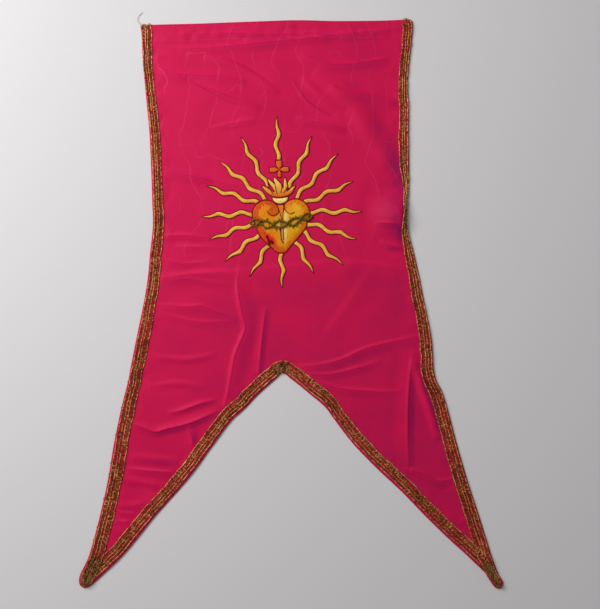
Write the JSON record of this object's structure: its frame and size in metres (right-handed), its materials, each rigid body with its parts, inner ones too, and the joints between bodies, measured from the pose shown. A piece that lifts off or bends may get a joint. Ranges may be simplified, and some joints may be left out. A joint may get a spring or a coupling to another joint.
{
  "type": "church banner",
  "caption": "Swallow-tailed church banner of pink shot silk with a woven braid border and a flaming heart in a sunburst sewn on its face.",
  "frame": {"origin": "centre of the bounding box seen from above, on the flat surface that the banner lies on", "axes": "+X to the right of the face, +Y towards the hemmed top edge, +Z out of the face"},
  "size_m": [0.5724, 0.7668, 0.0137],
  "materials": {
    "silk": "pink shot silk with a watered sheen",
    "braid": "dark red woven braid with twisted gold cords",
    "gold_silk": "ochre gold embroidery thread",
    "heart_silk": "orange and yellow satin stitch",
    "cream_silk": "pale satin stitch",
    "orange_silk": "orange brown satin stitch"
  },
  "bodies": {
    "root": {"silk_panel": "silk", "gold_braid": "braid", "heart": "heart_silk", "heart_collar": "cream_silk", "flames": "gold_silk", "cross": "orange_silk", "ray_01": "gold_silk", "ray_02": "gold_silk", "ray_03": "gold_silk", "ray_04": "gold_silk", "ray_05": "gold_silk", "ray_06": "gold_silk", "ray_07": "gold_silk", "ray_08": "gold_silk", "ray_09": "gold_silk", "ray_10": "gold_silk", "ray_11": "gold_silk", "ray_12": "gold_silk", "ray_13": "gold_silk", "ray_14": "gold_silk", "ray_15": "gold_silk", "ray_16": "gold_silk"}
  },
  "joints": []
}
